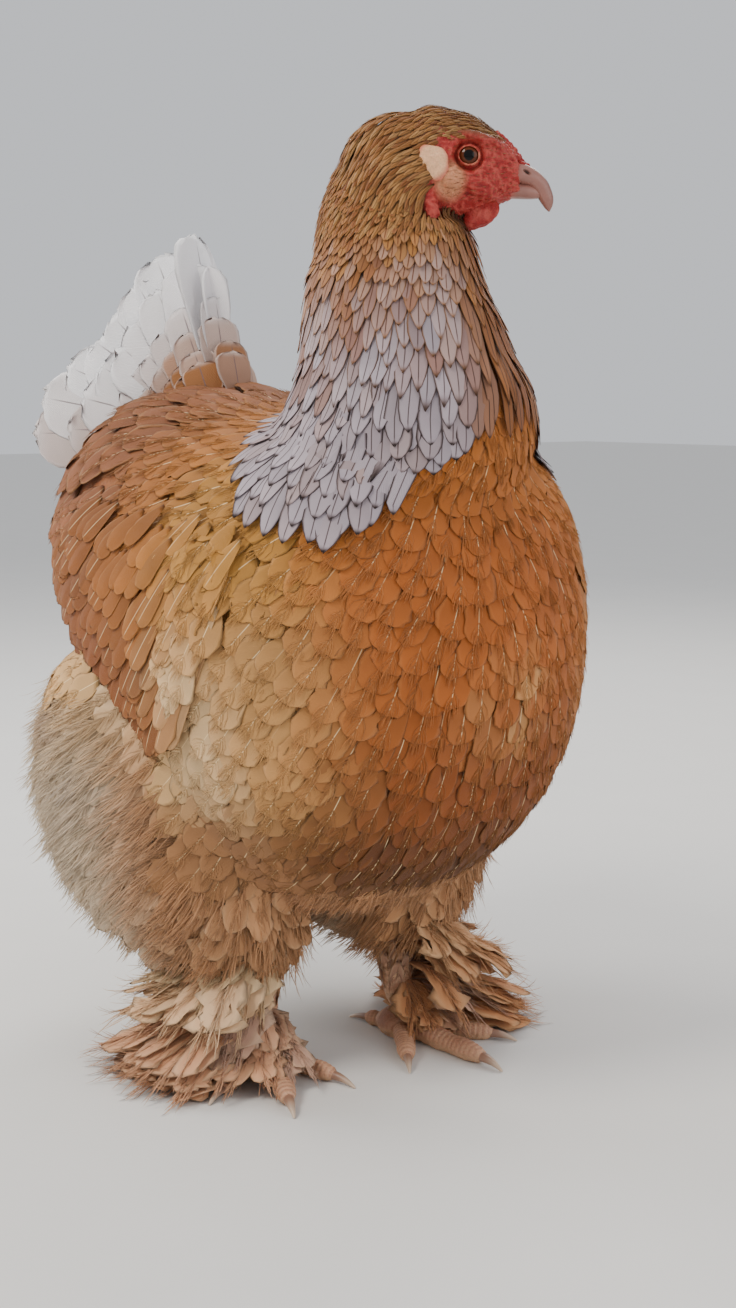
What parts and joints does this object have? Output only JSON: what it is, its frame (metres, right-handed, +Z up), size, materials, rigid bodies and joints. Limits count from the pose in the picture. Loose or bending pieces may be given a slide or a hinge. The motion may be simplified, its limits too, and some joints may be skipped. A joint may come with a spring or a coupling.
{
  "type": "brahma hen model",
  "caption": "Life-size standing brahma hen with full buff plumage, silver-laced hackle, feathered feet and the head turned to its left.",
  "frame": {"origin": "centre of the bounding box's footprint, on the floor the feet stand on", "axes": "+X is the way the body faces, +Y is the hen's left, +Z is up"},
  "size_m": [0.3336, 0.265, 0.4972],
  "materials": {
    "body_feather": "soft, satin sheen on the vanes",
    "hackle_feather": "satin",
    "tail_feather": "satin",
    "fluff_feather": "soft, matt",
    "face_skin": "soft, slightly moist",
    "earlobe": "matt",
    "horn": "satin horn",
    "toe_scale": "dry scales",
    "eye": "wet gloss"
  },
  "bodies": {
    "root": {"beak_lower": "horn", "beak_upper": "horn", "claw_left_hind": "horn", "claw_left_inner": "horn", "claw_left_middle": "horn", "claw_left_outer": "horn", "claw_right_hind": "horn", "claw_right_inner": "horn", "claw_right_middle": "horn", "claw_right_outer": "horn", "comb": "face_skin", "earlobe_left": "earlobe", "earlobe_right": "earlobe", "eye_left": "eye", "eye_right": "eye", "fluff": "fluff_feather", "foot_left": "toe_scale", "foot_right": "toe_scale", "head": "face_skin", "neck": "hackle_feather", "shank_left": "toe_scale", "shank_right": "toe_scale", "tail": "tail_feather", "thigh_left": "fluff_feather", "thigh_right": "fluff_feather", "torso": "body_feather", "wattle_left": "face_skin", "wattle_right": "face_skin", "wing_left": "body_feather", "wing_right": "body_feather"}
  },
  "joints": []
}
